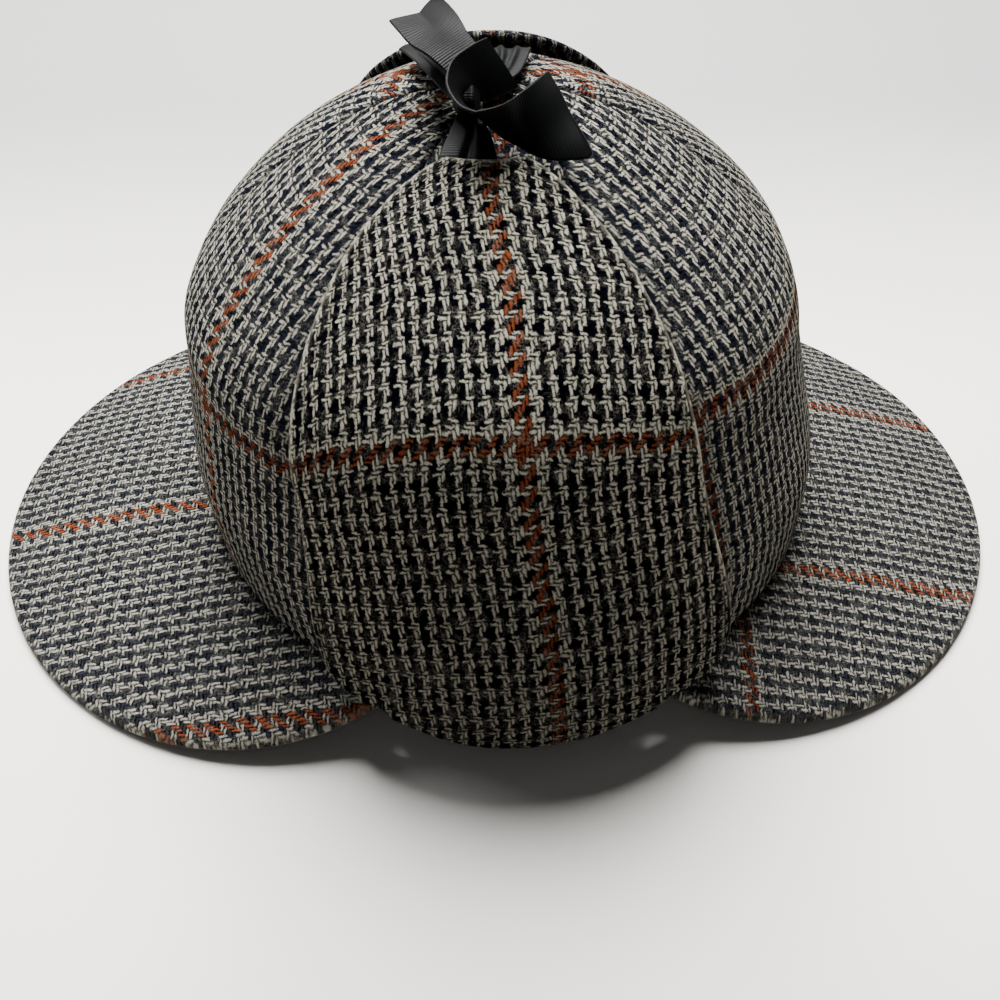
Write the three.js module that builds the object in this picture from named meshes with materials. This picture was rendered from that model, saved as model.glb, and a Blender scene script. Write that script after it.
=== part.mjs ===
import * as THREE from "three";

// Driving sizes in millimetres. X runs from the front peak to the back peak, Y across the head, Z up.
const crownHalfLength = 97.4;
const crownHalfWidth = 96;
const crownHeight = 133.7;
const rimHeight = 18.5;
const crownLean = 3.5;
const clothWall = 2;
const goreCount = 6;
const gorePuff = 1.4;
const gapAtSeams = 0.3;
const goreTop = 0.988;

const peakThickness = 4;
const peakFineEdge = 2.2;
const peakEdgeHeight = 1;
const peakArch = 1.5;
const frontPeakReach = 72;
const backPeakReach = 63.5;
const peakEnd = 0.97;

const flapThickness = 2.8;
const flapEdgeStandOff = 6.6;
const flapClearance = 1.4;
const foldCornerRise = 0.6;
const rightFlapReach = 1.03;
const rightFlapStandOff = 0.5;

const ribbonThickness = 1;
const doubledThickness = 1.8;
const knotCentre = { x: -9.4, y: -19.6, z: 157 };
const knotHalf = { x: 3.6, y: 4.4, z: 4.2 };

// Crown profile from the rim to the top: the front's and the back's share of the half length,
// and the share of the height.
const crownRows = [
  { front: 0.972, back: 0.972, rise: 0.0 },
  { front: 0.975, back: 0.965, rise: 0.2 },
  { front: 0.935, back: 0.918, rise: 0.365 },
  { front: 0.9, back: 0.885, rise: 0.485 },
  { front: 0.87, back: 0.86, rise: 0.58 },
  { front: 0.78, back: 0.785, rise: 0.685 },
  { front: 0.59, back: 0.585, rise: 0.82 },
  { front: 0.31, back: 0.29, rise: 0.95 },
  { front: 0.0, back: 0.0, rise: 1.0 },
];

// Ear flap from its fold under the rim to its top edge: how far it hangs below the rim, its place
// on the crown's profile, how far it stands off the crown, and the angles that it covers.
const flapRows = [
  { drop: 3.0, rise: 0.0, out: 0.7, half: 19.5, centre: 88.0 },
  { drop: 6.5, rise: 0.0, out: 4.2, half: 19.8, centre: 88.0 },
  { drop: 5.5, rise: 0.0, out: 8.6, half: 21.0, centre: 88.0 },
  { drop: 0.0, rise: 0.0, out: 10.2, half: 26.0, centre: 87.5 },
  { drop: 0.0, rise: 0.035, out: 10.2, half: 31.5, centre: 87.2 },
  { drop: 0.0, rise: 0.08, out: 9.6, half: 33.0, centre: 87.5 },
  { drop: 0.0, rise: 0.16, out: 8.8, half: 32.8, centre: 88.2 },
  { drop: 0.0, rise: 0.28, out: 8.2, half: 32.1, centre: 89.1 },
  { drop: 0.0, rise: 0.42, out: 7.8, half: 31.9, centre: 89.9 },
  { drop: 0.0, rise: 0.56, out: 7.5, half: 32.3, centre: 90.9 },
  { drop: 0.0, rise: 0.68, out: 7.3, half: 32.8, centre: 91.6 },
  { drop: 0.0, rise: 0.77, out: 7.1, half: 31.0, centre: 92.7 },
  { drop: 0.0, rise: 0.818, out: 6.9, half: 26.0, centre: 92.8 },
  { drop: 0.0, rise: 0.846, out: 6.7, half: 19.5, centre: 92.6 },
  { drop: 0.0, rise: 0.858, out: 6.5, half: 14.0, centre: 92.4 },
];

// Peaks: the direction they point in, the angle each side that they cover, and the curve of their
// outline.
const peakRows = {
  front: { side: -1, reach: frontPeakReach, half: 71, curve: 1.9 },
  back: { side: 1, reach: backPeakReach, half: 68, curve: 2.0 },
};

// Ribbons: a row for each station, with the two edges a and b of the band.
const rightTieRows = [
  { ax: -4.8, ay: 16.6, az: 152, bx: 7, by: 16.6, bz: 151.8 },
  { ax: -4.4, ay: 11.6, az: 153.5, bx: 6.6, by: 11.6, bz: 153.3 },
  { ax: -4.4, ay: 4.6, az: 154.2, bx: 5.4, by: 4, bz: 154 },
  { ax: -6, ay: -4, az: 154.7, bx: 2.4, by: -5.2, bz: 154.5 },
  { ax: -9, ay: -12.4, az: 155.2, bx: -5, by: -12.8, bz: 155 },
];
const leftTieRows = [
  { ax: -15.8, ay: -32.2, az: 151.1, bx: -2.6, by: -32.4, bz: 151 },
  { ax: -14.4, ay: -29.4, az: 151.5, bx: -3.4, by: -29.6, bz: 151.4 },
  { ax: -13, ay: -25.6, az: 151.8, bx: -5, by: -25.8, bz: 151.7 },
];
const frontTailRows = [
  { ax: -14.2, ay: -17.4, az: 162.6, bx: -6.6, by: -6.4, bz: 162.8 },
  { ax: -18, ay: -14.6, az: 164.2, bx: -9.2, by: -0.8, bz: 164.2 },
  { ax: -22.4, ay: -11.2, az: 165.6, bx: -12.6, by: 8.6, bz: 164.8 },
  { ax: -27.4, ay: -0.4, az: 165.8, bx: -16.4, by: 17.2, bz: 164.2 },
];
const backTailRows = [
  { ax: -15.4, ay: -13.6, az: 155.2, bx: -11.8, by: -5, bz: 158 },
  { ax: -19.8, ay: -2, az: 154.4, bx: -14.4, by: 7, bz: 156.8 },
  { ax: -23.4, ay: 7, az: 153.6, bx: -17, by: 17.5, bz: 155.2 },
  { ax: -27, ay: 15.4, az: 152, bx: -18.6, by: 27, bz: 153 },
];
const frontLoopRows = [
  { ax: -4.4, ay: -9.6, az: 166, bx: -1, by: -11, bz: 161 },
  { ax: -8.4, ay: -15.4, az: 166.6, bx: -5, by: -15.5, bz: 161.8 },
  { ax: -12.4, ay: -21.6, az: 166.2, bx: -9.4, by: -20, bz: 162.4 },
  { ax: -13.6, ay: -28, az: 165, bx: -11.4, by: -24.6, bz: 161.2 },
  { ax: -12.8, ay: -33, az: 164.2, bx: -11.2, by: -27.8, bz: 159.8 },
  { ax: -10.2, ay: -37.8, az: 163.6, bx: -9.4, by: -30.6, bz: 159.2 },
  { ax: -7.6, ay: -40, az: 163.5, bx: -7.6, by: -31.4, bz: 158.6 },
];
const backLoopRows = [
  { ax: -6.4, ay: -40.2, az: 163.5, bx: -5.8, by: -27, bz: 155.6 },
  { ax: -1.8, ay: -37.8, az: 163.4, bx: 0.4, by: -29.8, bz: 152.4 },
  { ax: 3.8, ay: -29.6, az: 162.9, bx: 8.4, by: -36.4, bz: 151.2 },
  { ax: 8.8, ay: -20.4, az: 162.4, bx: 18.4, by: -35.4, bz: 150.4 },
];

const tweedMaterial = new THREE.MeshStandardMaterial({ color: 0x6d6c6c, roughness: 0.95, metalness: 0 });
const peakMaterial = new THREE.MeshStandardMaterial({ color: 0x757371, roughness: 0.95, metalness: 0 });
const flapMaterial = new THREE.MeshStandardMaterial({ color: 0x5f5e5f, roughness: 0.95, metalness: 0 });
const ribbonMaterial = new THREE.MeshStandardMaterial({ color: 0x141618, roughness: 0.55, metalness: 0 });

const radians = THREE.MathUtils.degToRad;
const clamp = THREE.MathUtils.clamp;

// Value of one column of a table at t from 0 to 1, on a smooth curve through its rows.
function along(rows, column, t) {
  const last = rows.length - 1;
  const place = clamp(t, 0, 1) * last;
  const start = Math.min(Math.floor(place), last - 1);
  const f = place - start;
  const value = (index) => rows[clamp(index, 0, last)][column];
  const [p, q, r, s] = [value(start - 1), value(start), value(start + 1), value(start + 2)];
  const cubic = (3 * (q - r) + s - p) * f * f * f;
  return 0.5 * (2 * q + (r - p) * f + (2 * p - 5 * q + 4 * r - s) * f * f + cubic);
}

// Point of the crown's outer face: an ellipse at each level, leaning forward as it rises, with
// each gore a little fuller between its seams.
function crownFace(angle, t) {
  const toBack = 0.5 + 0.5 * Math.cos(angle);
  const share = along(crownRows, "front", t) * (1 - toBack) + along(crownRows, "back", t) * toBack;
  const acrossGore = (((angle / (2 * Math.PI)) * goreCount) % 1 + 1) % 1;
  const puff = gorePuff * Math.sin(Math.PI * acrossGore) * Math.min(share, 1) * Math.sqrt(clamp(t / 0.2, 0, 1));
  const lean = crownLean * THREE.MathUtils.smoothstep(t, 0, 0.5);
  return new THREE.Vector3(
    (crownHalfLength * share + puff) * Math.cos(angle) - lean,
    (crownHalfWidth * share + puff) * Math.sin(angle),
    rimHeight + crownHeight * along(crownRows, "rise", t),
  );
}

// The same point moved off the face along its outward normal.
function crownPoint(angle, t, out) {
  const step = 0.004;
  const turn = crownFace(angle + step, t).sub(crownFace(angle - step, t));
  const climb = crownFace(angle, Math.min(t + step, 0.999)).sub(crownFace(angle, Math.max(t - step, 0)));
  return crownFace(angle, t).addScaledVector(turn.cross(climb).normalize(), out);
}

// Closed body between two grids of points, outer[i][j] and inner[i][j], joined round their edges.
function shell(outer, inner) {
  const rows = outer.length;
  const columns = outer[0].length;
  const positions = [...outer.flat(), ...inner.flat()].flatMap((point) => [point.x, point.y, point.z]);
  const top = (i, j) => i * columns + j;
  const under = (i, j) => rows * columns + i * columns + j;
  const indices = [];
  const quad = (a, b, c, d) => indices.push(a, b, c, a, c, d);
  for (let i = 0; i < rows - 1; i += 1) {
    for (let j = 0; j < columns - 1; j += 1) {
      quad(top(i, j), top(i + 1, j), top(i + 1, j + 1), top(i, j + 1));
      quad(under(i, j), under(i, j + 1), under(i + 1, j + 1), under(i + 1, j));
    }
  }
  for (let i = 0; i < rows - 1; i += 1) {
    quad(top(i, 0), under(i, 0), under(i + 1, 0), top(i + 1, 0));
    quad(top(i + 1, columns - 1), under(i + 1, columns - 1), under(i, columns - 1), top(i, columns - 1));
  }
  for (let j = 0; j < columns - 1; j += 1) {
    quad(top(0, j + 1), under(0, j + 1), under(0, j), top(0, j));
    quad(top(rows - 1, j), under(rows - 1, j), under(rows - 1, j + 1), top(rows - 1, j + 1));
  }
  const geometry = new THREE.BufferGeometry();
  geometry.setAttribute("position", new THREE.Float32BufferAttribute(positions, 3));
  geometry.setIndex(indices);
  geometry.computeVertexNormals();
  return geometry;
}

// Grid of points from a function of two shares from 0 to 1.
function grid(rows, columns, point) {
  const line = (i) => Array.from({ length: columns + 1 }, (_, j) => point(i / rows, j / columns));
  return Array.from({ length: rows + 1 }, (_, i) => line(i));
}

// The two faces of a sheet, each half its thickness away from the middle grid.
function thicken(middle, thickness) {
  const at = (i, j) => middle[clamp(i, 0, middle.length - 1)][clamp(j, 0, middle[0].length - 1)];
  const face = (side) =>
    middle.map((line, i) =>
      line.map((point, j) => {
        const down = at(i + 1, j).clone().sub(at(i - 1, j));
        const across = at(i, j + 1).clone().sub(at(i, j - 1));
        const normal = down.cross(across).normalize();
        return point.clone().addScaledVector(normal, (side * thickness) / 2);
      }),
    );
  return shell(face(1), face(-1));
}

// One gore: a tapering panel of the crown between two seams.
function goreGeometry(index) {
  const width = (2 * Math.PI) / goreCount;
  const point = (out) => (acrossShare, upShare) => {
    const t = goreTop * upShare;
    const radius = Math.max(crownHalfWidth * along(crownRows, "front", t), 1);
    const margin = gapAtSeams / radius;
    const angle = width * index + margin / 2 + (width - margin) * acrossShare;
    return crownPoint(angle, t, out);
  };
  return shell(grid(8, 16, point(0)), grid(8, 16, point(-clothWall)));
}

// Height of a peak's middle surface: it falls from the rim to its outer edge, and its two ends
// stay up at the rim.
function peakHeight(place, share) {
  const fall = (rimHeight - peakEdgeHeight) * (1 - Math.abs(place) ** 4);
  const arch = 4 * peakArch * share * (1 - share) * (1 - place * place);
  return rimHeight - fall * share + arch;
}

function peakWidth(peak, place) {
  return peak.reach * (1 - Math.abs(place) ** peak.curve);
}

// Point of a peak at a place from -1 to 1 round the rim and a share of its width.
function peakPoint(peak, place, share, height) {
  const angle = place * radians(peak.half);
  const rim = crownRows[0].front;
  const outward = new THREE.Vector2(Math.cos(angle) / crownHalfLength, Math.sin(angle) / crownHalfWidth).normalize();
  const distance = gapAtSeams + share * peakWidth(peak, place);
  return new THREE.Vector3(
    peak.side * (crownHalfLength * rim * Math.cos(angle) + distance * outward.x),
    crownHalfWidth * rim * Math.sin(angle) + distance * outward.y,
    height,
  );
}

function peakGeometry(peak) {
  const shares = [0, 0.25, 0.5, 0.75, 0.965, 1];
  const placeAt = (part) => -peak.side * peakEnd * (2 * part - 1);
  const halfThick = (share) => (share < 1 ? peakThickness / 2 : peakFineEdge / 2);
  const face = (side) =>
    grid(44, shares.length - 1, (part, column) => {
      const place = placeAt(part);
      const share = shares[Math.round(column * (shares.length - 1))];
      const height = peakHeight(place, share) + side * halfThick(share);
      const rests = side < 0 && share > 0.9 && peakHeight(place, share) < peakThickness / 2;
      return peakPoint(peak, place, share, rests ? 0 : Math.max(height, 0));
    });
  return shell(face(1), face(-1));
}

// Lowest height that a flap may have over the peaks, whose ends pass under its lower corners.
function flapFloor(angle, out) {
  const peak = Math.cos(angle) < 0 ? peakRows.front : peakRows.back;
  const place = Math.acos(Math.abs(Math.cos(angle))) / radians(peak.half);
  if (place > 1 || out > peakWidth(peak, place) + 6) {
    return 0;
  }
  const share = clamp(out / Math.max(peakWidth(peak, place), 1), 0, 1);
  return peakHeight(place, share) + peakThickness / 2 + flapThickness / 2 + flapClearance;
}

// Middle surface of an ear flap: side -1 is the wearer's left.
function flapPoint(side, across, up) {
  const half = along(flapRows, "half", up);
  const angle = side * radians(along(flapRows, "centre", up) - across * half);
  const tight = side > 0 ? 1 - (1 - rightFlapStandOff) * THREE.MathUtils.smoothstep(up, 0.3, 0.7) : 1;
  const away = along(flapRows, "out", up) * tight;
  const edge = Math.min(flapEdgeStandOff, away);
  const out = edge + (away - edge) * (1 - Math.abs(across) ** 2.5);
  const reach = side > 0 ? rightFlapReach : 1;
  const point = crownPoint(angle, Math.max(along(flapRows, "rise", up) * reach, 0), out);
  const hang = Math.max(along(flapRows, "drop", up), 0);
  point.z -= Math.max(hang * (1 - foldCornerRise * across ** 4), Math.min(hang, flapRows[0].drop));
  point.z = Math.max(point.z, flapFloor(angle, out));
  return point;
}

function flapGeometry(side) {
  const middle = grid(18, 30, (part, up) => flapPoint(side, -side * (2 * part - 1), up));
  return thicken(middle, flapThickness);
}

function ribbonGeometry(rows, steps, thickness = ribbonThickness) {
  const middle = grid(2, steps, (acrossShare, t) => {
    const edgeA = new THREE.Vector3(along(rows, "ax", t), along(rows, "ay", t), along(rows, "az", t));
    const edgeB = new THREE.Vector3(along(rows, "bx", t), along(rows, "by", t), along(rows, "bz", t));
    return edgeA.lerp(edgeB, acrossShare);
  });
  return thicken(middle, thickness);
}

// The knot: a rounded body.
function knotGeometry() {
  const geometry = new THREE.SphereGeometry(1, 14, 9);
  geometry.rotateX(Math.PI / 2);
  geometry.scale(knotHalf.x, knotHalf.y, knotHalf.z);
  geometry.translate(knotCentre.x, knotCentre.y, knotCentre.z);
  return geometry;
}

const hat = new THREE.Group();
hat.position.x = (frontPeakReach - backPeakReach) / 2;

function add(name, geometry, material) {
  const mesh = new THREE.Mesh(geometry, material.clone());
  mesh.name = name;
  hat.add(mesh);
}

for (let index = 0; index < goreCount; index += 1) {
  add(`crown_gore_${index + 1}`, goreGeometry(index), tweedMaterial);
}
add("front_peak", peakGeometry(peakRows.front), peakMaterial);
add("back_peak", peakGeometry(peakRows.back), peakMaterial);
add("left_ear_flap", flapGeometry(-1), flapMaterial);
add("right_ear_flap", flapGeometry(1), flapMaterial);
add("left_tie", ribbonGeometry(leftTieRows, 6), ribbonMaterial);
add("right_tie", ribbonGeometry(rightTieRows, 9), ribbonMaterial);
add("bow_knot", knotGeometry(), ribbonMaterial);
add("bow_loop_front", ribbonGeometry(frontLoopRows, 12), ribbonMaterial);
add("bow_loop_back", ribbonGeometry(backLoopRows, 9, doubledThickness), ribbonMaterial);
add("bow_tail_front", ribbonGeometry(frontTailRows, 9), ribbonMaterial);
add("bow_tail_back", ribbonGeometry(backTailRows, 9), ribbonMaterial);

export default hat;
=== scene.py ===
import bpy
import numpy as np
from mathutils import Matrix, Vector


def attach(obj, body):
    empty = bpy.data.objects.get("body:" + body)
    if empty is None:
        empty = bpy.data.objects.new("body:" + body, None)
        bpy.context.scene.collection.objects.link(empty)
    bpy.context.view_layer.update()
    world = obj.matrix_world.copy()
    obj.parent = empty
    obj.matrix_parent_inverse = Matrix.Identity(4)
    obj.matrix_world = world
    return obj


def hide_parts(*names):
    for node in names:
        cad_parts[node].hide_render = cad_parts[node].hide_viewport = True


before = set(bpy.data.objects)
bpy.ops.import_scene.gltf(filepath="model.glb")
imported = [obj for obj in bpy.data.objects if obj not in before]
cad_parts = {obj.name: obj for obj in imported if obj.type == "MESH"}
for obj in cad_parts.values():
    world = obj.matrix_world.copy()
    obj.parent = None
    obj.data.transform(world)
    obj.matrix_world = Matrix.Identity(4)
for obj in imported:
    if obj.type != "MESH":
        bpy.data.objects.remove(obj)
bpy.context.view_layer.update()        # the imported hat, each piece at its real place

metre = 0.001  # shapes are worked out in millimetres round the crown's middle

# The crown's driving sizes, as the solids have them. X runs from the front peak to the back peak.
crown = {
    "halfLength": 97.4,
    "halfWidth": 96.0,
    "height": 133.7,
    "rim": 18.5,
    "lean": 3.5,
    "wall": 2.0,
    "gores": 6,
    "puff": 1.4,
    "seamDip": 0.9,
    "seamWidth": 2.2,
    "seamGap": 0.3,
    "waveHeight": 0.25,
    "rimRound": 0.9,
    "rimRoundTo": 0.012,
    "top": 0.994,
}

# Crown profile from the rim to the top: front and back share of the half length, share of height.
crownRows = np.array([
    (0.972, 0.972, 0.0),
    (0.975, 0.965, 0.2),
    (0.935, 0.918, 0.365),
    (0.9, 0.885, 0.485),
    (0.87, 0.86, 0.58),
    (0.78, 0.785, 0.685),
    (0.59, 0.585, 0.82),
    (0.31, 0.29, 0.95),
    (0.0, 0.0, 1.0),
])

peaks = {
    "thickness": 4.0,
    "edgeHeight": 1.0,
    "arch": 1.5,
    "gap": 0.3,
    "end": 0.97,
    "hemWidth": 3.2,
    "hemSpread": 1.8,
    "hemSwell": 0.35,
    "waveHeight": 0.4,
    "front": {"side": -1, "reach": 72.0, "half": 71.0, "curve": 1.9},
    "back": {"side": 1, "reach": 63.5, "half": 68.0, "curve": 2.0},
}

flap = {
    "thickness": 2.8,
    "edgeStandOff": 6.6,
    "clearance": 1.4,
    "cornerRise": 0.6,
    "rightReach": 1.03,
    "rightStandOff": 0.5,
    "overPeaks": 6.0,
    "rimShare": 0.2143,
    "paintedShadowReach": 6.5,
    "hemWidth": 4.5,
    "hemSpread": 2.0,
    "hemSwell": 0.2,
    "softEdge": 0.4,
    "waveHeight": 0.35,
}

# Ear flap from its fold to its top edge: how far it hangs below the rim, its place on the crown's
# profile, how far it stands off, and the angle each side of its middle angle.
flapRows = np.array([
    (3.0, 0.0, 0.7, 19.5, 88.0),
    (6.5, 0.0, 4.2, 19.8, 88.0),
    (5.5, 0.0, 8.6, 21.0, 88.0),
    (0.0, 0.0, 10.2, 26.0, 87.5),
    (0.0, 0.035, 10.2, 31.5, 87.2),
    (0.0, 0.08, 9.6, 33.0, 87.5),
    (0.0, 0.16, 8.8, 32.8, 88.2),
    (0.0, 0.28, 8.2, 32.1, 89.1),
    (0.0, 0.42, 7.8, 31.9, 89.9),
    (0.0, 0.56, 7.5, 32.3, 90.9),
    (0.0, 0.68, 7.3, 32.8, 91.6),
    (0.0, 0.77, 7.1, 31.0, 92.7),
    (0.0, 0.818, 6.9, 26.0, 92.8),
    (0.0, 0.846, 6.7, 19.5, 92.6),
    (0.0, 0.858, 6.5, 14.0, 92.4),
])

hatShift = (peaks["front"]["reach"] - peaks["back"]["reach"]) / 2  # the box's middle is at X = 0
twillRepeat = 4  # yarns to a repeat of the weave, both ways


# Catmull-Rom: a smooth curve through evenly spaced rows, at t from 0 to 1.
def along(rows, t):
    last = len(rows) - 1
    place = np.clip(t, 0, 1) * last
    start = np.minimum(np.floor(place).astype(int), last - 1)
    f = (place - start)[..., None]
    p, q, r, s = (rows[np.clip(start + k, 0, last)] for k in (-1, 0, 1, 2))
    cubic = (3 * (q - r) + s - p) * f**3
    return 0.5 * (2 * q + (r - p) * f + (2 * p - 5 * q + 4 * r - s) * f**2 + cubic)


def smoothStep(value, low, high):
    f = np.clip((value - low) / (high - low), 0, 1)
    return f * f * (3 - 2 * f)


# Smooth waves that never repeat on the hat: a sum of sines of the place, from -1 to 1.
def ripple(points, size, seed):
    turn = np.random.default_rng(seed)
    total = np.zeros(points.shape[:-1])
    for _ in range(5):
        way = turn.normal(size=3)
        way *= turn.uniform(0.7, 1.4) / np.linalg.norm(way)
        total += np.sin(2 * np.pi * (points @ way) / size + turn.uniform(0, 2 * np.pi))
    return total / 3


# Crown face: an ellipse at each level that leans forward as it rises, and each gore swells
# between its seams by a half sine wave.
def crownFace(angle, t):
    front, back, rise = np.moveaxis(along(crownRows, t), -1, 0)
    toBack = 0.5 + 0.5 * np.cos(angle)
    share = front * (1 - toBack) + back * toBack
    acrossGore = (angle / (2 * np.pi) * crown["gores"]) % 1
    puff = crown["puff"] * np.sin(np.pi * acrossGore)
    puff = puff * np.minimum(share, 1) * np.sqrt(np.clip(t / 0.2, 0, 1))
    lean = crown["lean"] * smoothStep(t, 0, 0.5)
    return np.stack([
        (crown["halfLength"] * share + puff) * np.cos(angle) - lean,
        (crown["halfWidth"] * share + puff) * np.sin(angle),
        crown["rim"] + crown["height"] * rise,
    ], axis=-1)


# The crown face moved out along its normal, which is the cross product of two small steps.
def crownPoint(angle, t, out):
    step = 0.004
    turn = crownFace(angle + step, t) - crownFace(angle - step, t)
    climb = crownFace(angle, np.minimum(t + step, 0.999)) - crownFace(angle, np.maximum(t - step, 0))
    normal = np.cross(turn, climb)
    normal /= np.linalg.norm(normal, axis=-1, keepdims=True)
    return crownFace(angle, t) + normal * np.asarray(out)[..., None]


# Shares from 0 to 1 that lie closer together near both ends, where the edges are round.
def edgeSpread(count, pull=0.85):
    t = np.linspace(0, 1, count)
    return t - pull * np.sin(2 * np.pi * t) / (2 * np.pi)


# Normals of a grid of points, from the differences along its rows and columns.
def gridNormals(points):
    normal = np.cross(np.gradient(points, axis=0), np.gradient(points, axis=1))
    return normal / np.maximum(np.linalg.norm(normal, axis=-1, keepdims=True), 1e-9)


# Distance in millimetres along the grid from each point to its nearest border.
def borderDistance(points, sides=(True, True, True, True)):
    stepA = np.linalg.norm(np.diff(points, axis=0), axis=-1)
    stepB = np.linalg.norm(np.diff(points, axis=1), axis=-1)
    runA = np.concatenate([np.zeros((1, stepA.shape[1])), np.cumsum(stepA, axis=0)])
    runB = np.concatenate([np.zeros((stepB.shape[0], 1)), np.cumsum(stepB, axis=1)], axis=1)
    ways = [runA, runA[-1:] - runA, runB, runB[:, -1:] - runB]
    return np.min([way for way, used in zip(ways, sides) if used], axis=0)


# Round edge: half the thickness falls to nearly nothing at the border as a quarter circle.
def roundedHalf(distance, half, radius):
    inset = 1 - np.clip(distance / radius, 0, 1)
    return half * np.maximum(np.sqrt(1 - inset**2), 0.08)


# A closed body between two grids, joined round their borders, with one cloth map for both, and
# one map of the distance to the cloth's edge and of the painted shadow that a flap beside it casts.
def closedSheet(name, outer, inner, cloth, distance, paintedShadow=0.0):
    rows, columns = outer.shape[:2]
    index = np.arange(rows * columns).reshape(rows, columns)
    under = index + rows * columns

    def quads(a, b, c, d):
        return np.stack([a, b, c, d], axis=-1).reshape(-1, 4)

    faces = np.concatenate([
        quads(index[:-1, :-1], index[1:, :-1], index[1:, 1:], index[:-1, 1:]),
        quads(under[:-1, :-1], under[:-1, 1:], under[1:, 1:], under[1:, :-1]),
        quads(index[:-1, 0], under[:-1, 0], under[1:, 0], index[1:, 0]),
        quads(index[1:, -1], under[1:, -1], under[:-1, -1], index[:-1, -1]),
        quads(index[0, 1:], under[0, 1:], under[0, :-1], index[0, :-1]),
        quads(index[-1, :-1], under[-1, :-1], under[-1, 1:], index[-1, 1:]),
    ])
    points = np.concatenate([outer.reshape(-1, 3), inner.reshape(-1, 3)])
    edge = np.stack([distance, distance * 0 + paintedShadow], axis=-1)
    maps = {
        "cloth": np.concatenate([cloth.reshape(-1, 2)] * 2),
        "edge": np.concatenate([edge.reshape(-1, 2)] * 2),
    }
    return makePiece(name, points, faces.tolist(), maps)


# Points in millimetres round the crown's middle become a mesh in metres in the hat's frame.
def makePiece(name, points, faces, maps):
    mesh = bpy.data.meshes.new(name)
    placed = (points + (hatShift, 0, 0)) * metre
    mesh.from_pydata(placed.tolist(), [], faces)
    corners = np.zeros(len(mesh.loops), np.int32)
    mesh.loops.foreach_get("vertex_index", corners)
    for key, values in maps.items():
        layer = mesh.uv_layers.new(name=key)
        layer.data.foreach_set("uv", values[corners].astype(np.float32).ravel())
    mesh.polygons.foreach_set("use_smooth", np.ones(len(faces), bool))
    mesh.update()
    piece = bpy.data.objects.new(name, mesh)
    bpy.context.scene.collection.objects.link(piece)
    return piece


# A piece of the hat: it rides with the body, stands for its solid and takes its finish.
def dress(piece, node, finish):
    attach(piece, "root")
    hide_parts(node)
    piece.data.materials.append(finish)


# A socket of the finish being made. Python's operators on it add Math nodes.
class Wire:
    def __init__(self, shade, socket):
        self.shade = shade
        self.socket = socket

    def math(self, operation, *values):
        return self.shade.node("ShaderNodeMath", {"operation": operation}, values)

    def __add__(self, other):
        return self.math("ADD", self, other)

    def __radd__(self, other):
        return self.math("ADD", other, self)

    def __sub__(self, other):
        return self.math("SUBTRACT", self, other)

    def __rsub__(self, other):
        return self.math("SUBTRACT", other, self)

    def __mul__(self, other):
        return self.math("MULTIPLY", self, other)

    def __rmul__(self, other):
        return self.math("MULTIPLY", other, self)

    def __truediv__(self, other):
        return self.math("DIVIDE", self, other)

    def __pow__(self, other):
        return self.math("POWER", self, other)

    def __mod__(self, other):
        return self.math("FLOORED_MODULO", self, other)

    def __gt__(self, other):
        return self.math("GREATER_THAN", self, other)

    def __lt__(self, other):
        return self.math("LESS_THAN", self, other)

    def __abs__(self):
        return self.math("ABSOLUTE", self)

    def floor(self):
        return self.math("FLOOR", self)

    def sin(self):
        return self.math("SINE", self)

    # From this value to another, by a share from 0 to 1.
    def toward(self, other, share):
        return self + (other - self) * share

    # 0 below low, 1 above high, smooth between.
    def ease(self, low, high):
        settings = {"interpolation_type": "SMOOTHSTEP"}
        values = {"Value": self, "From Min": low, "From Max": high}
        return self.shade.node("ShaderNodeMapRange", settings, values)


# One finish: its node tree and the one method that adds nodes to it.
class Shade:
    def __init__(self, name):
        self.material = bpy.data.materials.new(name)
        self.material.use_nodes = True
        self.tree = self.material.node_tree
        self.surface = self.tree.nodes["Principled BSDF"]

    def node(self, kind, settings=None, values=(), output=0):
        made = self.tree.nodes.new(kind)
        for key, value in (settings or {}).items():
            setattr(made, key, value)
        pairs = values.items() if isinstance(values, dict) else enumerate(values)
        for key, value in pairs:
            self.feed(made.inputs[key], value)
        return Wire(self, made.outputs[output])

    def feed(self, socket, value):
        if isinstance(value, Wire):
            self.tree.links.new(value.socket, socket)
        elif isinstance(value, tuple) and socket.type == "RGBA" and len(value) == 3:
            socket.default_value = (*value, 1)
        else:
            socket.default_value = value

    def mix(self, first, second, share):
        settings = {"data_type": "RGBA"}
        return self.node("ShaderNodeMix", settings, {0: share, 6: first, 7: second}, 2)

    def scaled(self, vector, amount):
        return self.node("ShaderNodeVectorMath", {"operation": "MULTIPLY"}, [vector, amount])

    def noise(self, vector, scale, detail=2.0, rough=0.5, output=0):
        values = {"Vector": vector, "Scale": scale, "Detail": detail, "Roughness": rough}
        return self.node("ShaderNodeTexNoise", None, values, output)

    def split(self, vector):
        return [self.node("ShaderNodeSeparateXYZ", None, [vector], k) for k in range(3)]

    def set(self, **values):
        for key, value in values.items():
            self.feed(self.surface.inputs[key.replace("_", " ")], value)


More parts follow.
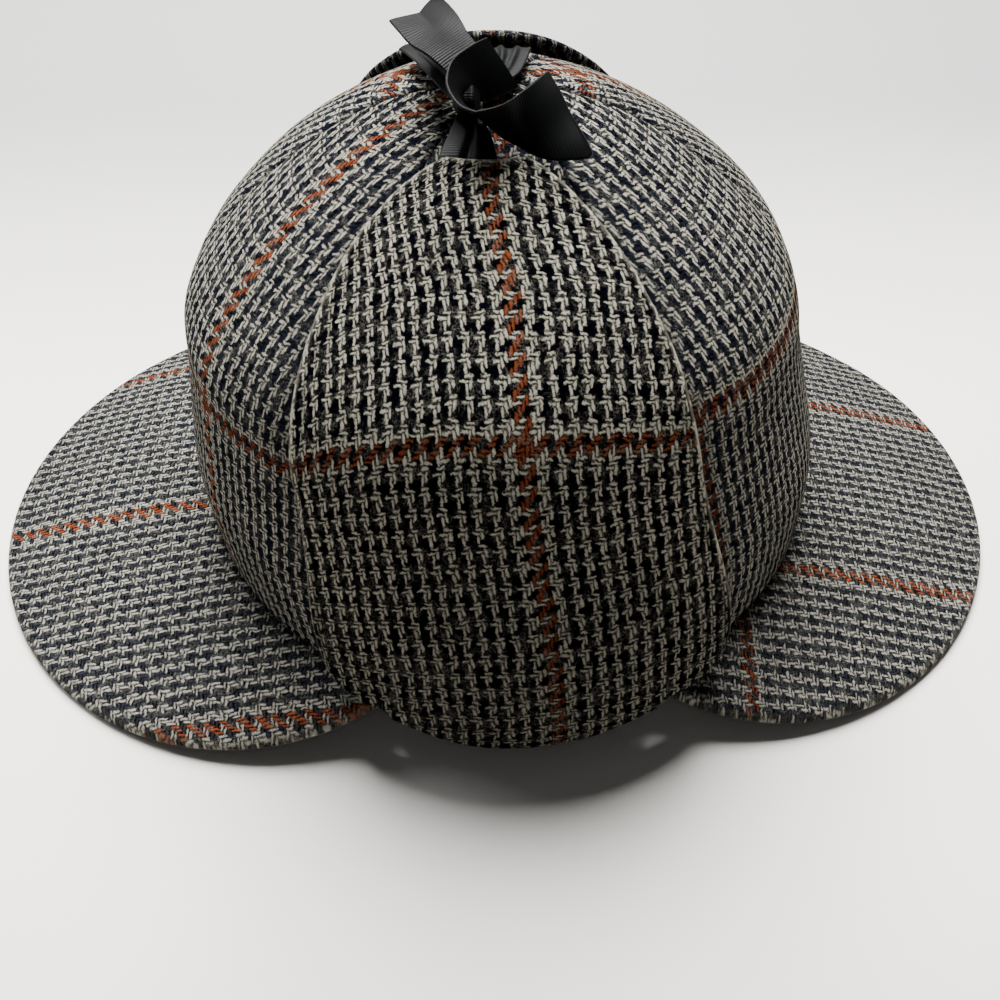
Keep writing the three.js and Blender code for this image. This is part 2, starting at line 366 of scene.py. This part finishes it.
tweed = {
    "cream": (0.5, 0.475, 0.385),
    "creamShadeAndFibre": (0.1, 0.095, 0.075),
    "dark": (0.0006, 0.0007, 0.0016),
    "darkPale": (0.0045, 0.005, 0.011),
    "rust": (0.24, 0.06, 0.024),
    "rustShadeAndFibre": (0.03, 0.008, 0.004),
    "hair": (0.3, 0.285, 0.24),
    "hairShare": 0.38,
    "hairLines": ((0.75, 0.026), (1.3, 0.032)),
    "endsToCheck": 80,
    "picksToCheck": 104,
    "checkYarns": 4,
    "creamYarns": 3,
    "wander": 1.0,
    "wanderScale": 0.2,
    "fray": 2.0,
    "frayScale": 1.5,
    "weftWidth": 0.5,
    "warpWidth": 0.66,
    "yarnRelief": 0.00055,
    # Painted shade: in the gaps between yarns, on the flap towards its fold, along the hem, and where a
    # flap casts its shadow on the crown.
    "gapShadowTone": 0.07,
    "foldShade": 0.5,
    "foldFrom": (5.0, 60.0),
    "edge": (0.46, 0.43, 0.34),
    "edgePale": 0.85,
    "edgeWidth": 1.3,
    "hemShadowAndSeam": 3.4,
    "hemShadowAndSeamDark": 0.5,
    "paintedShadowDark": 0.8,
}

# Painted sheen and shade: the crown and the peaks get paler dark yarns than the near flap, painting
# the grey haze of light on woolly cloth seen aslant, and the peaks a darker cream for their shade.
crownSheen = {
    "cream": (0.42, 0.4, 0.34),
    "dark": (0.0045, 0.0054, 0.01),
    "darkPale": (0.018, 0.021, 0.033),
    "foldShade": 0.0,
    "edgePale": 0.0,
    "edgeWidth": 0.6,
    "hemShadowAndSeam": 0.3,
    "hemShadowAndSeamDark": 0.6,
}
peakSheenAndShade = {
    "cream": (0.33, 0.32, 0.285),
    "dark": (0.012, 0.0135, 0.018),
    "darkPale": (0.045, 0.048, 0.057),
    "foldShade": 0.0,
    "edgePale": 0.12,
    "hemShadowAndSeamDark": 0.2,
}


# Twill tweed. The cloth map counts yarns: a yarn of the warp is on top where the difference of the
# two yarn numbers is 2 or 3 of every 4. Two pale and two dark yarns take turns both ways, and
# every few dozen yarns four rusty ones stand between pale ones. Shade is painted into the colour:
# the yarns darken at their sides and in the gaps between them, and the flap darkens towards its
# fold. The edge map paints the shadow that a flap casts on the crown beside it and a dark line
# along the edge, the hem's shadow on the flap and peaks and a dark seam line on the crown, and
# pales a turned edge.
def tweedFinish(name, look=tweed):
    shade = Shade(name)
    cloth = shade.node("ShaderNodeUVMap", {"uv_map": "cloth"})
    slow = shade.split(shade.noise(cloth, look["wanderScale"], 2.0, 0.5, 1))
    fast = shade.split(shade.noise(cloth, look["frayScale"], 5.0, 0.75, 1))
    flat = shade.split(cloth)
    x = flat[0] + (slow[0] - 0.5) * (2 * look["wander"]) + (fast[0] - 0.5) * look["fray"]
    y = flat[1] + (slow[1] - 0.5) * (2 * look["wander"]) + (fast[1] - 0.5) * look["fray"]
    end, pick = x.floor(), y.floor()
    acrossEnd, acrossPick = x - end, y - pick
    step = (end - pick) % float(twillRepeat)
    up = step > 1.5

    # The yarns lie in mirrored order on both sides of each check.
    def yarnKinds(number, every):
        fromCheck = abs((number + every / 2) % float(every) - every / 2 + 0.5)
        halfRust = look["checkYarns"] / 2
        edge = halfRust + look["creamYarns"]
        beyond = fromCheck - edge
        dark = (beyond > 0.0) * ((beyond % float(twillRepeat)) < 2.0)
        return 1 - dark, fromCheck < halfRust

    paleEnd, rustEnd = yarnKinds(end, look["endsToCheck"])
    palePick, rustPick = yarnKinds(pick, look["picksToCheck"])
    pale = palePick.toward(paleEnd, up)
    rust = rustPick.toward(rustEnd, up)

    fromMiddle = abs(2 * acrossPick.toward(acrossEnd, up) - 1)
    width = up * (look["warpWidth"] - look["weftWidth"]) + look["weftWidth"]
    spread = fromMiddle / width
    place = ((step + acrossEnd) / 2).toward((3 - step + acrossPick) / 2, up)
    middle = 1 - spread**2.0
    arch = (place * np.pi).sin()
    twist = ((place * 3 + spread) * (2 * np.pi)).sin() * 0.5 + 0.5
    height = middle * 0.6 + arch * 0.35 + 0.1 * twist + 0.6 * (fast[2] - 0.5)

    fibre = shade.noise(shade.scaled(cloth, (1.0, 0.4, 1.0)), 6.0, 4.0, 0.75)
    fibreTwo = shade.noise(shade.scaled(cloth, (0.4, 1.0, 1.0)), 5.2, 4.0, 0.75)
    tone = shade.noise(cloth, 0.5, 2.0)
    blend = shade.noise(cloth, 0.045, 2.0)
    # Painted shade: cream and rust yarns darken towards their sides by their height, with random fibre
    # tone besides.
    lightCream = (fibre * 1.1 + height * 0.9 + tone * 0.3).ease(0.7, 1.65)
    lightDark = (fibreTwo * 1.2 + tone * 0.4).ease(0.6, 1.2)
    lightRust = (fibreTwo * 1.2 + height * 0.4 + tone * 0.3).ease(0.5, 1.4)
    cream = shade.mix(look["creamShadeAndFibre"], look["cream"], lightCream)
    dark = shade.mix(look["dark"], look["darkPale"], lightDark)
    red = shade.mix(look["rustShadeAndFibre"], look["rust"], lightRust)
    colour = shade.mix(dark, cream, pale)
    colour = shade.mix(colour, red, rust)
    # Painted shade in the gaps between the yarns; the slow noise adds random tone over it.
    gap = height.ease(-0.25, 0.5) * (1 - look["gapShadowTone"]) + look["gapShadowTone"]
    # Painted shade: the flap's cloth darkens towards its fold.
    foldShadeShare = flat[1].ease(*look["foldFrom"])
    shadowAndTone = gap * (0.8 + 0.4 * blend) * (1 - look["foldShade"] * foldShadeShare)
    scaling = {"Vector": colour, "Scale": shadowAndTone}
    colour = shade.node("ShaderNodeVectorMath", {"operation": "SCALE"}, scaling)

    # Loose fibres: thin lines where a noise passes its middle value, in scattered patches.
    sparse = shade.noise(cloth, 0.35, 1.0).ease(0.42, 0.62)
    for scale, thin in look["hairLines"]:
        line = shade.noise(shade.scaled(cloth, (1.0, 1.0, scale)), scale, 1.5, 0.55)
        hair = 1 - abs(line - 0.5).ease(0.0, thin)
        colour = shade.mix(colour, look["hair"], hair * sparse * look["hairShare"])

    border = shade.split(shade.node("ShaderNodeUVMap", {"uv_map": "edge"}))
    # Painted shadow that a flap casts on the crown beside its side edges.
    colour = shade.mix(colour, look["dark"], border[1] * look["paintedShadowDark"])
    edge = border[0] + (fast[2] - 0.5) * 1.2
    # A dark line at a set distance from the edge: painted shadow of the hem on the flap and peaks, a dark
    # seam line on the crown.
    hemShadowAndSeam = 1 - abs(edge - look["hemShadowAndSeam"]).ease(0.2, 1.3)
    colour = shade.mix(colour, look["dark"], hemShadowAndSeam * look["hemShadowAndSeamDark"])
    turned = 1 - edge.ease(look["edgeWidth"] * 0.5, look["edgeWidth"] * 1.5)
    colour = shade.mix(colour, look["edge"], turned * look["edgePale"] * (0.35 + 0.65 * pale))
    relief = shade.node("ShaderNodeBump", None, {
        "Strength": 1.0,
        "Distance": look["yarnRelief"],
        "Height": height + fibre * 0.4,
    })
    shade.set(Base_Color=colour, Roughness=0.97, Normal=relief, Specular_IOR_Level=0.0)
    return shade.material


ribbon = {
    "black": (0.0005, 0.0006, 0.0007),
    "grey": (0.0013, 0.0015, 0.0017),
    "ribEvery": 0.72,
    "ribRelief": 0.00009,
    "specular": 0.035,
    "width": 22.0,
    "thickness": 0.7,
    "softEdge": 0.4,
    "waveHeight": 0.25,
    "foldWidth": 0.07,
}


# Grosgrain: the cloth map is in millimetres, and a fine rib crosses the ribbon every ribEvery.
def ribbonFinish(name, look=ribbon):
    shade = Shade(name)
    cloth = shade.node("ShaderNodeUVMap", {"uv_map": "cloth"})
    flat = shade.split(cloth)
    drift = shade.noise(shade.scaled(cloth, (0.25, 1.0, 1.0)), 0.5, 2.0)
    rib = (flat[1] / look["ribEvery"] + drift * 0.5) * np.pi
    ridge = abs(rib.sin())
    thread = shade.noise(shade.scaled(cloth, (3.0, 1.0, 1.0)), 2.2, 2.0)
    colour = shade.mix(look["black"], look["grey"], (ridge * 0.6 + thread * 0.6).ease(0.35, 1.05))
    relief = shade.node("ShaderNodeBump", None, {
        "Strength": 0.8,
        "Distance": look["ribRelief"],
        "Height": ridge + thread * 0.25,
    })
    rough = 0.4 + 0.12 * thread
    shade.set(Base_Color=colour, Roughness=rough, Normal=relief)
    shade.set(Specular_IOR_Level=look["specular"])
    return shade.material


floor = {
    "far": (0.23, 0.23, 0.227),
    "middle": (0.62, 0.6, 0.57),
    "near": (0.25, 0.243, 0.232),
    "farFrom": (0.0, 0.3),
    "nearFrom": (-0.3, -0.12),
    "half": 3.0,
}


def floorFinish(name, look=floor):
    shade = Shade(name)
    place = shade.node("ShaderNodeTexCoord", None, (), 3)
    mottle = shade.noise(place, 6.0, 3.0)
    depth = shade.split(place)[1] + (mottle - 0.5) * 0.03
    # Painted light: the table is brightest round the hat and darker towards the camera and far away, a
    # painted pool of light.
    colour = shade.mix(look["near"], look["middle"], depth.ease(*look["nearFrom"]))
    colour = shade.mix(colour, look["far"], depth.ease(*look["farFrom"]))
    shade.set(Base_Color=colour, Roughness=0.8)
    return shade.material


# The weave on each part of the cloth, in millimetres: the size of a repeat across and along it, and
# where the check lines run. A gore's shift moves the one up it, and its check is the other's arc.
gorePattern = {
    "across": 3.8,
    "up": 5.1,
    "shift": (0, 12, 0, 0, 2, 39),
    "check": (160, 74, 158, 67.5, 74, 82),
}
peakPattern = {
    "front": {"across": 3.87, "along": 4.87, "checkY": -17.0, "checkX": -42.5},
    "back": {"across": 3.87, "along": 4.0, "checkY": -49.0, "checkX": 67.0},
}
flapPattern = {
    "across": 4.15,
    "acrossFall": 0.0045,
    "up": 6.3,
    "upFall": 0.0135,
    "checkArc": 97.5,
    "checkSag": (16.5, 9.5),
    "checkArcs": (0, 35, 90, 130, 155),
    "checkAngles": (83.5, 84.5, 86, 86.8, 91),
}


# Painted shadow beside a flap: 1 at its side edge, falling off outwards as a bell curve.
def flapPaintedShadow(angle, t, radius, side):
    half = np.interp(t, flapRows[3:, 1], flapRows[3:, 3])
    centre = np.interp(t, flapRows[3:, 1], flapRows[3:, 4])
    offset = np.abs((np.degrees(angle) - side * centre + 180) % 360 - 180)
    beyond = np.maximum(np.radians(offset - half) * radius, 0)
    return np.exp(-((beyond / flap["paintedShadowReach"]) ** 2)) * (1 - smoothStep(t, 0.87, 0.93))


# Gore: the crown face between two seams, dipping into each seam by a rounded groove, with the
# inner face a wall's thickness inside it. The warp runs up its middle line.
def makeGore(number, finish):
    width = 2 * np.pi / crown["gores"]
    up = np.linspace(0, 1, 121) ** 0.95 * crown["top"]
    share, t = np.meshgrid(edgeSpread(45), up, indexing="ij")
    front = along(crownRows, t)[..., 0]
    radius = np.maximum(crown["halfWidth"] * front, 0.6)
    margin = crown["seamGap"] / np.maximum(radius, 1)
    angle = width * number + margin / 2 + (width - margin) * share
    fromSeam = np.minimum(share, 1 - share) * width * radius
    groove = np.minimum(crown["seamWidth"], 0.25 * width * radius)
    dip = crown["seamDip"] * (1 - np.sqrt(1 - (1 - np.clip(fromSeam / groove, 0, 1)) ** 2))
    dip = dip * np.clip(radius / 12, 0, 1)
    face = crownPoint(angle, t, np.zeros_like(t))
    bump = crown["waveHeight"] * ripple(face, 38, 11) * np.clip(radius / 30, 0, 1)
    rimRound = crown["rimRound"] * (1 - np.clip(t / crown["rimRoundTo"], 0, 1)) ** 2
    outer = crownPoint(angle, t, bump - dip - rimRound)
    inner = crownPoint(angle, t, -crown["wall"] + 0.5 * rimRound)
    step = np.linalg.norm(np.diff(face, axis=1), axis=-1)
    arc = np.concatenate([np.zeros((len(face), 1)), np.cumsum(step, axis=1)], axis=1)
    fromMiddle = (angle - width * (number + 0.5)) * radius
    cloth = np.stack([
        -twillRepeat * (fromMiddle - gorePattern["shift"][number]) / gorePattern["across"],
        -twillRepeat * (arc - gorePattern["check"][number]) / gorePattern["up"],
    ], axis=-1)
    # Painted shadow of the flaps on the gore beside their side edges, kept in the edge map.
    paintedShadow = np.maximum(flapPaintedShadow(angle, t, radius, -1), flapPaintedShadow(angle, t, radius, 1))
    piece = closedSheet(f"gore_{number + 1}", outer, inner, cloth, fromSeam, paintedShadow)
    dress(piece, f"crown_gore_{number + 1}", finish)


# Height of a peak's middle surface: it falls from the rim to its outer edge, and its two ends
# stay up at the rim.
def peakHeight(place, share):
    fall = (crown["rim"] - peaks["edgeHeight"]) * (1 - np.abs(place) ** 4)
    archHeight = 4 * peaks["arch"] * share * (1 - share) * (1 - place**2)
    return crown["rim"] - fall * share + archHeight


def peakWidth(peak, place):
    return peak["reach"] * (1 - np.abs(place) ** peak["curve"])


# Place in plan: from the rim outwards along the rim's normal by a share of the width at each place.
def peakFlat(peak, place, share):
    angle = place * np.radians(peak["half"])
    rim = crownRows[0, 0]
    ways = np.stack([np.cos(angle) / crown["halfLength"], np.sin(angle) / crown["halfWidth"]], axis=-1)
    ways /= np.linalg.norm(ways, axis=-1, keepdims=True)
    distance = peaks["gap"] + share * peakWidth(peak, place)
    x = peak["side"] * (crown["halfLength"] * rim * np.cos(angle) + distance * ways[..., 0])
    y = crown["halfWidth"] * rim * np.sin(angle) + distance * ways[..., 1]
    return x, y


# Peak: its flat places at the height of its middle surface, with half the thickness, a hem and
# soft waves, resting on the table at its outer edge.
def makePeak(name, finish):
    peak = peaks[name]
    side = peak["side"]
    outward = 1 - (1 - np.linspace(0, 1, 56)) ** 1.9
    part, share = np.meshgrid(edgeSpread(190, 0.5), outward, indexing="ij")
    place = -side * peaks["end"] * (2 * part - 1)
    x, y = peakFlat(peak, place, share)
    flatMiddle = np.stack([x, y, peakHeight(place, share)], axis=-1)
    distance = borderDistance(flatMiddle, (True, True, False, True))
    half = roundedHalf(distance, peaks["thickness"] / 2, peaks["thickness"] / 2)
    fromHem = (distance - peaks["hemWidth"]) / peaks["hemSpread"]
    hem = peaks["hemSwell"] * np.exp(-(fromHem**2))
    wave = peaks["waveHeight"] * ripple(flatMiddle, 55, 5) * np.clip(distance / 12, 0, 1)
    middle = np.maximum(flatMiddle[..., 2] + wave, peaks["thickness"] / 2 * smoothStep(share, 0.5, 0.9))
    top = np.stack([x, y, middle + half + hem], axis=-1)
    bottom = np.stack([x, y, np.maximum(middle - half, 0)], axis=-1)
    pattern = peakPattern[name]
    cloth = np.stack([
        side * twillRepeat * (y - pattern["checkY"]) / pattern["across"],
        -side * twillRepeat * (x - pattern["checkX"]) / pattern["along"],
    ], axis=-1)
    piece = closedSheet(f"{name}_peak_cloth", top, bottom, cloth, distance)
    dress(piece, f"{name}_peak", finish)


# Lowest height that a flap may have over the peaks, whose ends pass under its lower corners.
def flapFloor(angle, out):
    lowest = np.zeros_like(angle)
    for name, front in (("front", True), ("back", False)):
        peak = peaks[name]
        place = np.arccos(np.abs(np.cos(angle))) / np.radians(peak["half"])
        width = peakWidth(peak, np.minimum(place, 1))
        share = np.clip(out / np.maximum(width, 1), 0, 1)
        top = peakHeight(np.minimum(place, 1), share) + peaks["thickness"] / 2
        top = top + flap["thickness"] / 2 + flap["clearance"]
        over = ((np.cos(angle) < 0) == front) & (place <= 1) & (out <= width + flap["overPeaks"])
        lowest = np.where(over, top, lowest)
    return lowest


# Middle surface of an ear flap: a place on the crown's profile, moved out from it, with its fold
# hanging below the rim; its side edges stand off by edgeStandOff at most.
def flapMiddle(side, across, up):
    hang, rise, away, half, centre = np.moveaxis(along(flapRows, up), -1, 0)
    angle = side * np.radians(centre - across * half)
    if side > 0:
        away = away * (1 - (1 - flap["rightStandOff"]) * smoothStep(up, 0.3, 0.7))
        rise = rise * flap["rightReach"]
    edge = np.minimum(flap["edgeStandOff"], away)
    out = edge + (away - edge) * (1 - np.abs(across) ** 2.5)
    point = crownPoint(angle, np.maximum(rise, 0), out)
    hang = np.maximum(hang, 0)
    lowered = np.maximum(hang * (1 - flap["cornerRise"] * across**4), np.minimum(hang, flapRows[0, 0]))
    height = np.maximum(point[..., 2] - lowered, flapFloor(angle, out))
    return np.concatenate([point[..., :2], height[..., None]], axis=-1), angle


# Flap: its middle surface with half the thickness, the hem's swell and soft waves added along the
# normals. The yarns narrow towards the top, and the check across it sags at both side edges.
def makeFlap(name, side, finish):
    part, up = np.meshgrid(edgeSpread(130), edgeSpread(190, 0.55), indexing="ij")
    middle, angle = flapMiddle(side, -side * (2 * part - 1), up)
    normal = gridNormals(middle)
    distance = borderDistance(middle)
    half = roundedHalf(distance, flap["thickness"] / 2, flap["thickness"] / 2 + flap["softEdge"])
    fromHem = (distance - flap["hemWidth"]) / flap["hemSpread"]
    hem = flap["hemSwell"] * np.exp(-(fromHem**2))
    wave = flap["waveHeight"] * ripple(middle, 42, 3) * np.clip(distance / 10, 0, 1)
    outer = middle + normal * (half + hem + wave)[..., None]
    inner = middle - normal * (half - np.minimum(wave, 0.3))[..., None]
    centre = len(middle) // 2
    step = np.linalg.norm(np.diff(middle[centre], axis=0), axis=-1)
    arc = np.concatenate([[0], np.cumsum(step)])
    rimArc = np.interp(flap["rimShare"], up[centre], arc)
    arc = np.broadcast_to(arc - rimArc, up.shape)
    across = 1 - 2 * part
    sag = np.where(across * side < 0, *flapPattern["checkSag"]) * across**2
    pitch = flapPattern["up"] - flapPattern["upFall"] * arc
    pitchAtCheck = flapPattern["up"] - flapPattern["upFall"] * flapPattern["checkArc"]
    picks = -np.log(pitch / pitchAtCheck) / flapPattern["upFall"] + sag / pitch
    radius = np.hypot(middle[..., 0], middle[..., 1])
    checkAngle = np.radians(np.interp(arc, flapPattern["checkArcs"], flapPattern["checkAngles"]))
    columns = (angle - side * checkAngle) * radius
    columns = -columns / (flapPattern["across"] - flapPattern["acrossFall"] * arc)
    cloth = np.stack([twillRepeat * columns, -twillRepeat * picks], axis=-1)
    piece = closedSheet(f"{name}_flap_cloth", outer, inner, cloth, distance)
    dress(piece, f"{name}_ear_flap", finish)
    return piece


# Ribbons: a row for each station, with the two edges of the band. Folds are grooves along a
# band: the share of its width where one starts and ends, and its depth. Cut and area are those of
# the band laid flat, in metres.
ribbonPieces = {
    "left_tie": {
        "rows": [
            ((-16.1, -37.6, 147.6), (-1.9, -37.8, 147.6)),
            ((-15.6, -34, 149.9), (-2.6, -34.2, 149.8)),
            ((-13.4, -26.6, 151.5), (-4, -27, 151.3)),
            ((-11.6, -18.6, 152.2), (-6.4, -19, 152.1)),
        ],
        "folds": [(0.42, 0.62, 1.3)],
        "cut": (0.0145, 0.021),
        "area": 0.00021,
    },
    "right_tie": {
        "rows": [
            ((-4.8, 17.4, 151), (7, 17.4, 150.8)),
            ((-4.4, 11.6, 153.5), (6.6, 11.6, 153.3)),
            ((-4.4, 4.6, 154.2), (5.4, 4, 154)),
            ((-6, -4, 154.7), (2.4, -5.2, 154.5)),
            ((-10.4, -15, 155.2), (-6, -15.5, 155)),
        ],
        "folds": [(0.3, 0.45, 0.8), (0.7, 0.6, 0.6)],
        "cut": (0.012, 0.036),
        "area": 0.00033,
    },
    "bow_tail_front": {
        "rows": [
            ((-10.6, -21.5, 158.4), (-7.4, -17, 159.2)),
            ((-13.8, -18.6, 162), (-6.6, -8, 162.4)),
            ((-18, -15.4, 164.2), (-9.2, -1.6, 164.2)),
            ((-22.4, -11.2, 165.6), (-12.6, 8.6, 164.8)),
            ((-27.6, 0.6, 165.8), (-16.6, 18.4, 164.2)),
        ],
        "folds": [],
        "notch": 0.09,
        "cut": (0.022, 0.034),
        "area": 0.00047,
    },
    "bow_tail_back": {
        "rows": [
            ((-12.2, -20.6, 156), (-10, -16, 157.6)),
            ((-15, -14.6, 155.4), (-11.4, -6, 158)),
            ((-19.8, -2, 154.4), (-14.4, 7, 156.8)),
            ((-23.4, 7, 153.6), (-17, 17.5, 155.2)),
            ((-27, 15.4, 152), (-18.6, 27, 153)),
        ],
        "folds": [(0.4, 0.3, 0.5)],
        "cut": (0.0145, 0.042),
        "area": 0.00034,
    },
    "bow_loop_front": {
        "rows": [
            ((-4.4, -9.6, 166), (2.9, -12.5, 155.2)),
            ((-8.4, -15.4, 166.6), (-0.8, -15.6, 154.8)),
            ((-12.4, -21.6, 166.2), (-4.6, -17.6, 154.6)),
            ((-13.6, -28, 165), (-7.8, -18.6, 154.4)),
            ((-12.8, -33, 164.2), (-8.8, -19.8, 153.8)),
            ((-10.2, -37.8, 163.6), (-8, -21, 153.2)),
            ((-7, -40.4, 163.5), (-6.4, -23, 153)),
        ],
        "folds": [],
        "cut": (0.0205, 0.0265),
        "area": 0.00038,
    },
    "bow_loop_back": {
        "rows": [
            ((-7, -40.4, 163.5), (-6.4, -23, 153)),
            ((-1.8, -37.8, 163.6), (0.4, -29.8, 151)),
            ((3.8, -29.6, 163.1), (8.4, -36.4, 149.8)),
            ((8.6, -20.6, 162.6), (17.6, -36.6, 150)),
            ((9.2, -19.8, 161.8), (19, -33.4, 149.6)),
            ((8.2, -20, 161), (17.4, -33.4, 148.9)),
            ((3.6, -27.8, 161.4), (7.4, -32.8, 149)),
            ((-1.4, -35, 161.8), (0, -27.4, 150.2)),
            ((-6.4, -37, 161.6), (-5.6, -22, 152)),
        ],
        "folds": [],
        "cut": (0.022, 0.048),
        "area": 0.00081,
    },
}


# Ribbon: straight lines between its two edges, which are smooth curves through their stations,
# with its folds pressed in along it and its cut end drawn in to a notch.
def makeRibbon(node, finish):
    look = ribbonPieces[node]
    rows = np.array(look["rows"], float)
    share, t = np.meshgrid(edgeSpread(33, 0.7), np.linspace(0, 1, 121), indexing="ij")
    drawnIn = look.get("notch", 0) * (1 - np.abs(2 * share - 1)) * smoothStep(t, 0.5, 1)
    edgeA = along(rows[:, 0], t - drawnIn)
    edgeB = along(rows[:, 1], t - drawnIn)
    middle = edgeA * (1 - share[..., None]) + edgeB * share[..., None]
    normal = gridNormals(middle)
    lift = ribbon["waveHeight"] * ripple(middle, 13, 7)
    for start, end, depth in look["folds"]:
        beside = (share - start - (end - start) * t) / ribbon["foldWidth"]
        lift = lift - depth * np.exp(-(beside**2))
    middle = middle + normal * lift[..., None]
    half = roundedHalf(borderDistance(middle), ribbon["thickness"] / 2, ribbon["softEdge"])[..., None]
    step = np.linalg.norm(np.diff(middle[len(middle) // 2], axis=0), axis=-1)
    run = np.broadcast_to(np.concatenate([[0], np.cumsum(step)]), share.shape)
    cloth = np.stack([share * ribbon["width"], run], axis=-1)
    distance = borderDistance(middle)
    piece = closedSheet(f"{node}_ribbon", middle + normal * half, middle - normal * half, cloth, distance)
    dress(piece, node, finish)
    return piece


knot = {
    "middle": (-9.4, -19.6, 155.8),
    "half": (3.2, 4.2, 3.6),
    "foldDepth": 0.06,
    "clothHalf": 8.0,
    "clothRadius": 4.5,
}


# Knot: a rounded body wound by the ribbon, whose folds are a few grooves across it.
def makeKnot(finish):
    turn, tilt = np.meshgrid(np.linspace(0, 2 * np.pi, 65)[:-1], np.linspace(-1, 1, 41), indexing="ij")
    polar = tilt * np.pi / 2 * 0.98
    ring = np.cos(polar) ** 0.7
    unit = np.stack([np.sin(polar), ring * np.cos(turn), ring * np.sin(turn)], axis=-1)
    fold = 1 - knot["foldDepth"] * np.cos(3 * np.pi * tilt) * ring
    shape = unit * fold[..., None] * knot["half"] + np.array(knot["middle"])
    rows, columns = turn.shape
    index = np.arange(rows * columns).reshape(rows, columns)
    after = np.roll(index, -1, axis=0)
    faces = np.stack([index[:, :-1], index[:, 1:], after[:, 1:], after[:, :-1]], axis=-1).reshape(-1, 4)
    low, high = rows * columns, rows * columns + 1
    caps = [(after[k, 0], index[k, 0], low, low) for k in range(rows)]
    caps += [(index[k, -1], after[k, -1], high, high) for k in range(rows)]
    poles = np.array([shape[:, 0].mean(axis=0), shape[:, -1].mean(axis=0)])
    points = np.concatenate([shape.reshape(-1, 3), poles])
    cloth = np.stack([tilt * knot["clothHalf"], turn * knot["clothRadius"]], axis=-1).reshape(-1, 2)
    cloth = np.concatenate([cloth, [[-knot["clothHalf"], 0], [knot["clothHalf"], 0]]])
    faces = [*faces.tolist(), *[cap[:3] for cap in caps]]
    piece = makePiece("bow_knot_ribbon", points, faces, {"cloth": cloth})
    dress(piece, "bow_knot", finish)


camera = {
    "place": (0.00001, -0.26394, 0.27811),
    "turn": -0.921,
    "height": 46.438,
    "roll": 0.336,
    "lens": 39.97,
    "shift": -0.00792,
}


# Camera: it looks down at the hat from its left side, a little turned and rolled.
def makeCamera():
    turn, height, roll = (np.radians(camera[key]) for key in ("turn", "height", "roll"))
    back = np.array([np.sin(turn) * np.cos(height), -np.cos(turn) * np.cos(height), np.sin(height)])
    level = np.array([np.cos(turn), np.sin(turn), 0])
    upright = np.cross(back, level)
    right = level * np.cos(roll) - upright * np.sin(roll)
    above = level * np.sin(roll) + upright * np.cos(roll)
    data = bpy.data.cameras.new("camera")
    data.lens = camera["lens"]
    data.shift_x = camera["shift"]
    data.clip_start = 0.01
    eye = bpy.data.objects.new("camera", data)
    turned = Matrix(np.stack([right, above, back], axis=-1).tolist()).to_4x4()
    eye.matrix_world = Matrix.Translation(camera["place"]) @ turned
    bpy.context.scene.collection.objects.link(eye)
    bpy.context.scene.camera = eye


lights = {
    "above": {"place": (-0.04, 0.5, 0.98), "size": 0.85, "power": 106.0, "colour": (1, 0.995, 0.98)},
    "left": {"place": (-0.95, 0.5, 0.6), "size": 0.6, "power": 9.0, "colour": (0.95, 0.98, 1)},
    "near": {"place": (0.2, -0.9, 0.8), "size": 0.6, "power": 0.4, "colour": (1, 1, 1)},
    "sky": 0.08,
}


def makeLights():
    for name in ("above", "left", "near"):
        look = lights[name]
        data = bpy.data.lights.new(name, "AREA")
        data.shape = "DISK"
        data.size = look["size"]
        data.energy = look["power"]
        data.color = look["colour"]
        lamp = bpy.data.objects.new(name, data)
        bpy.context.scene.collection.objects.link(lamp)
        away = Vector(look["place"])
        lamp.location = away
        lamp.rotation_mode = "QUATERNION"
        lamp.rotation_quaternion = away.to_track_quat("Z", "Y")
    world = bpy.data.worlds.new("studio")
    world.use_nodes = True
    world.node_tree.nodes["Background"].inputs["Color"].default_value = (1, 1, 1, 1)
    world.node_tree.nodes["Background"].inputs["Strength"].default_value = lights["sky"]
    bpy.context.scene.world = world


def makeFloor():
    half = floor["half"]
    mesh = bpy.data.meshes.new("table")
    corners = [(-half, -half, 0), (half, -half, 0), (half, half, 0), (-half, half, 0)]
    mesh.from_pydata(corners, [], [(0, 1, 2, 3)])
    table = bpy.data.objects.new("table", mesh)
    bpy.context.scene.collection.objects.link(table)
    mesh.materials.append(floorFinish("pale_table"))


def makeHat():
    crownTweed = tweedFinish("tweed_crown", tweed | crownSheen)
    peakTweed = tweedFinish("tweed_peak", tweed | peakSheenAndShade)
    flapTweed = tweedFinish("tweed_flap", tweed)
    blackRibbon = ribbonFinish("ribbon_black")
    print("finishes made")
    for number in range(crown["gores"]):
        makeGore(number, crownTweed)
    print("crown made")
    makePeak("front", peakTweed)
    makePeak("back", peakTweed)
    print("peaks made")
    for name, side in (("left", -1), ("right", 1)):
        # The far flap takes the crown's tweed, with its painted sheen.
        piece = makeFlap(name, side, flapTweed if side < 0 else crownTweed)
    print("ear flaps made")
    for node, look in ribbonPieces.items():
        piece = makeRibbon(node, blackRibbon)
    makeKnot(blackRibbon)
    print("ribbons made")


makeHat()
makeFloor()
makeLights()
makeCamera()
